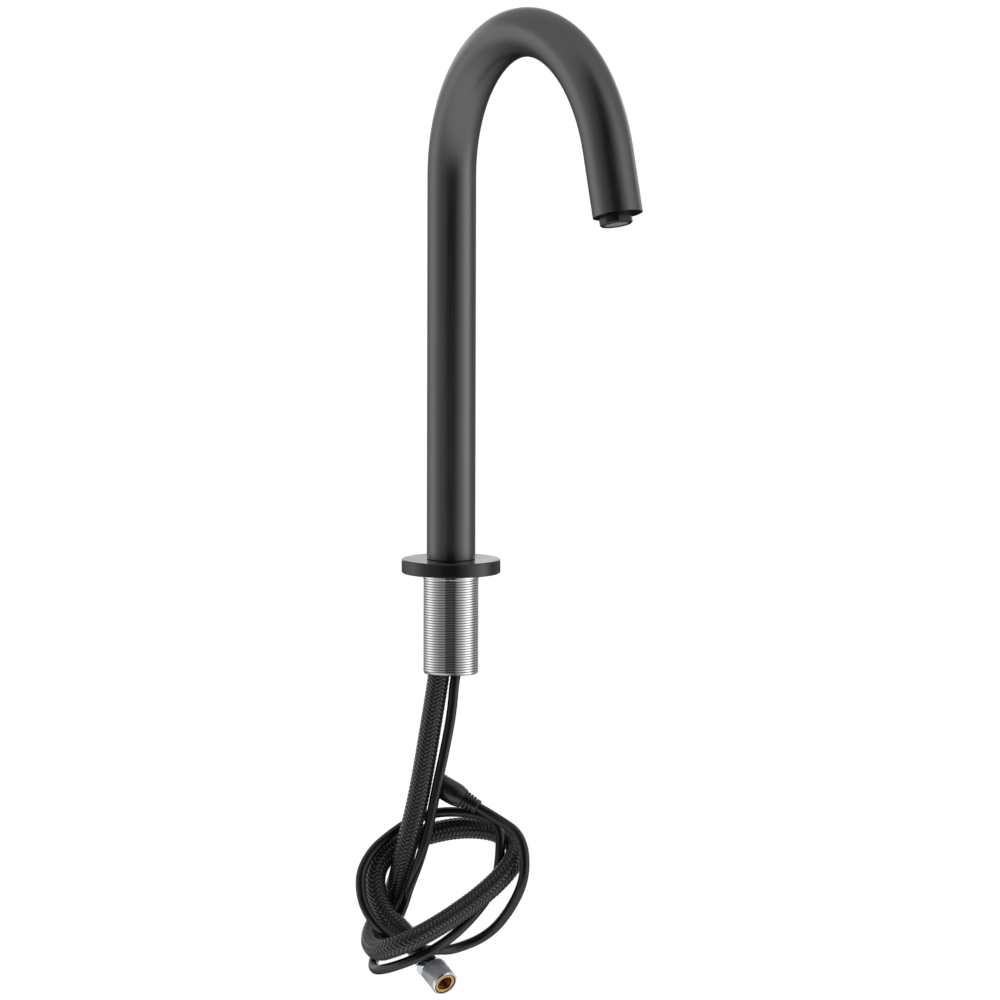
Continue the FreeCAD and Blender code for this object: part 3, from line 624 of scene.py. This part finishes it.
def braid(path, core):
    """The braid: herringbone columns of short bundles, each tucked under the next column's."""
    column_wide = math.tau / BRAID_COLUMNS
    half = Vector((core * column_wide / 2, BRAID_STITCH / 2))
    points, faces, spots = [], [], []
    for row in range(int(path.length / BRAID_STITCH)):
        for column in range(BRAID_COLUMNS):
            lean = 1 if column % 2 else -1
            run = Vector((half.x, half.y * lean)) * BUNDLE_UNDER
            wide = Vector((-run.y, run.x)).normalized() * BUNDLE_WIDE / 2
            ahead = (row + 0.5 + BRAID_STAGGER * lean) * BRAID_STITCH
            centre = Vector(((column + 0.5) * column_wide * core, ahead))
            faces += grid_faces(len(BUNDLE_ALONG), len(BUNDLE_ACROSS), start=len(points))
            for share in BUNDLE_ALONG:
                for side in BUNDLE_ACROSS:
                    spot = centre + run * share + wide * side
                    height = BUNDLE_HIGH * (1 - share**4) - BUNDLE_CROWN * side * side - BUNDLE_SUNK
                    points.append(path.place(spot.y, spot.x / core, core + height))
                    spots.append((share / 2 + 0.5, side / 2 + 0.5))
    piece = add_mesh("hose_braid", points, faces, "faucet", sharp=180)
    layer = piece.data.uv_layers.new(name="bundle")
    for loop in piece.data.loops:
        layer.data[loop.index].uv = spots[loop.vertex_index]
    piece.data.materials.append(BRAID)
    return piece


def cords():
    """Dress both cords and hang them on the faucet in place of the frame's own cords."""
    braided = braid(Path(line_of(hose)), HOSE_THICK / 2)
    hose.data.materials.append(HOSE_CORE)
    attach(hose, "faucet")
    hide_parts("supply_hose")
    cable.data.materials.append(JACKET)
    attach(cable, "faucet")
    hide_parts("sensor_cable")


cords()

# ---------------------------------------------------------------- aerator screen

OUTLET_AXIS = direction(-90, 163.5)
SCREEN_RADIUS = 0.00735
SCREEN_WIRE = 0.00011
SCREEN_PITCH = 0.00062


def screen():
    """Woven wire: two crossing sets of wires that pass over and under each other."""
    low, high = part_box("aerator_screen")
    seat = framed((low + high) / 2, OUTLET_AXIS)
    count = int(SCREEN_RADIUS / SCREEN_PITCH)
    points, faces = [], []
    for crossing in (0, 1):
        for wire in range(-count, count + 1):
            offset = wire * SCREEN_PITCH
            reach = math.sqrt(max(SCREEN_RADIUS**2 - offset**2, 0))
            samples = 2 * max(1, int(reach / SCREEN_PITCH)) + 1
            start = len(points)
            for sample in range(samples):
                along = (sample - samples // 2) * SCREEN_PITCH
                sway = SCREEN_WIRE * (1 if (sample - samples // 2 + wire + crossing) % 2 else -1)
                for corner in range(4):
                    out = around(SCREEN_WIRE, corner * math.tau / 4, 0)
                    spot = Vector((along, offset + out.x, sway + out.y))
                    if crossing:
                        spot = Vector((spot.y, spot.x, spot.z))
                    points.append(seat @ spot)
            faces += grid_faces(samples, 4, closed_columns=True, start=start)
    piece = add_mesh("woven_screen", points, faces, "aerator", ("aerator_screen",), sharp=180)
    piece.data.materials.append(SCREEN_STEEL)


screen()

# ---------------------------------------------------------------- thread in the nut's insert

INSERT_THREAD = 0.00445
INSERT_PITCH = 0.001
INSERT_DEEP = 0.00045
INSERT_START = -0.0125
INSERT_TURNS, INSERT_STEPS = 10, 40
# Share of the pitch, and share of the depth.
INSERT_FORM = ((0.0, 0.0), (0.45, 1.0), (0.55, 1.0), (1.0, 0.0))
# The thread starts this far inside the bore's own wall.
INSERT_CLEAR = 0.00002


def insert_thread():
    """The helical thread inside the nut's brass insert."""
    seat = framed(NUT_FACE, NUT_AXIS)
    samples = INSERT_STEPS * INSERT_TURNS + 1
    points = []
    for share, high in INSERT_FORM:
        radius = INSERT_THREAD - INSERT_CLEAR - high * INSERT_DEEP
        for sample in range(samples):
            turn = sample / INSERT_STEPS
            height = INSERT_START + (turn + share) * INSERT_PITCH
            points.append(seat @ around(radius, turn * math.tau, height))
    faces = grid_faces(len(INSERT_FORM), samples)
    piece = add_mesh("insert_thread", points, faces, "hose_swivel", sharp=20)
    piece.data.materials.append(THREAD_BRASS)


insert_thread()

# ---------------------------------------------------------------- floor and light

FLOOR_HEIGHT = -0.45
FLOOR_HALF = 40
FLOOR_GLOW = 0.62


def floor():
    """A plain pale floor below the hanging cords."""
    mesh = bpy.data.meshes.new("floor")
    square = ((-1, -1), (1, -1), (1, 1), (-1, 1))
    corners = [(x * FLOOR_HALF, y * FLOOR_HALF, FLOOR_HEIGHT) for x, y in square]
    mesh.from_pydata(corners, [], [(0, 1, 2, 3)])
    piece = bpy.data.objects.new("floor", mesh)
    bpy.context.collection.objects.link(piece)
    made, tree, shader = material("floor_paint", Roughness=0.8)
    tone = noise(tree, 0.6, detail=2.0)
    tree.links.new(blended(tree, tone, grey(0.84), grey(0.88)), shader.inputs["Base Color"])
    shader.inputs["Emission Color"].default_value = (1, 1, 1, 1)
    shader.inputs["Emission Strength"].default_value = FLOOR_GLOW
    mesh.materials.append(made)
    piece.visible_glossy = False
    piece.visible_diffuse = False


# The studio round the object: angle from the camera's side, positive to the right, and brightness. The
# levels were set so that the neck shows the same light and dark bands as in the photograph.
STUDIO = (
    (-180, 0.06),
    (-150, 0.18),
    (-134, 0.46),
    (-114, 0.84),
    (-99, 1.08),
    (-87, 0.86),
    (-74, 0.52),
    (-62, 0.37),
    (-50, 0.26),
    (-40, 0.21),
    (-27, 0.19),
    (-21, 0.04),
    (17, 0.03),
    (24, 0.18),
    (33, 0.30),
    (42, 0.44),
    (52, 0.62),
    (63, 0.92),
    (74, 1.28),
    (86, 1.38),
    (97, 0.85),
    (110, 0.30),
    (124, 0.28),
    (140, 0.30),
    (155, 0.12),
    (180, 0.06),
)
STUDIO_BRIGHTEST = 1.38
# The wall behind: its level, and where it begins by direction away from the camera and by height.
WALL, WALL_BEHIND, WALL_ABOVE = 0.92, (-0.5, -0.8), (-0.03, 0.04)
# The light overhead and below: its levels from the back to the front, and where it begins.
OVERHEAD, OVERHEAD_HIGH, OVERHEAD_FRONT = (0.34, 0.42, -0.45, 0.0), (0.16, 0.34), (0.1, 0.4)
BELOW, BELOW_LOW = (0.0, 0.62, -0.85, 0.10), (-0.2, -0.5)


def ring(tree, across, front):
    """The light by horizontal angle only."""
    angle = worked(tree, "ARCTAN2", across, front)
    ramp = add(tree, "ShaderNodeValToRGB", {"Fac": spread(tree, angle, 0.0, 1.0, -math.pi, math.pi)})
    stops = ramp.color_ramp.elements
    for index, (degrees, bright) in enumerate(STUDIO):
        where = (degrees + 180) / 360
        stop = stops[index] if index < 2 else stops.new(where)
        stop.position = where
        stop.color = (*grey(bright / STUDIO_BRIGHTEST), 1)
    return ramp.outputs["Color"]


def studio():
    """Soft light from all round: bright panels at both sides, a white wall behind, a dark gap in front."""
    world = bpy.data.worlds.new("studio")
    bpy.context.scene.world = world
    world.use_nodes = True
    tree = world.node_tree
    place = add(tree, "ShaderNodeTexCoord").outputs["Generated"]
    turn = math.radians(-CAMERA_HEADING)
    facing = add(tree, "ShaderNodeVectorRotate", {"Vector": place, "Angle": turn}, rotation_type="Z_AXIS")
    part = add(tree, "ShaderNodeSeparateXYZ", {0: facing.outputs[0]}).outputs
    front = worked(tree, "MULTIPLY", part["Y"], -1.0)
    light = ring(tree, part["X"], front)

    behind = spread(tree, front, 0.0, 1.0, *WALL_BEHIND)
    above = spread(tree, part["Z"], 0.0, 1.0, *WALL_ABOVE)
    light = blended(tree, worked(tree, "MULTIPLY", behind, above), light, grey(WALL))

    high = spread(tree, part["Z"], 0.0, 1.0, *OVERHEAD_HIGH)
    away = spread(tree, front, 1.0, 0.0, *OVERHEAD_FRONT)
    light = blended(tree, worked(tree, "MULTIPLY", high, away), light, spread(tree, front, *OVERHEAD))

    low = spread(tree, part["Z"], 0.0, 1.0, *BELOW_LOW)
    light = blended(tree, low, light, spread(tree, front, *BELOW))

    seen = add(tree, "ShaderNodeLightPath").outputs["Is Camera Ray"]
    glow = tree.nodes["Background"]
    tree.links.new(blended(tree, seen, light, grey(1)), glow.inputs["Color"])
    glow.inputs["Strength"].default_value = STUDIO_BRIGHTEST
    bpy.context.scene.view_settings.view_transform = "Standard"


floor()
studio()
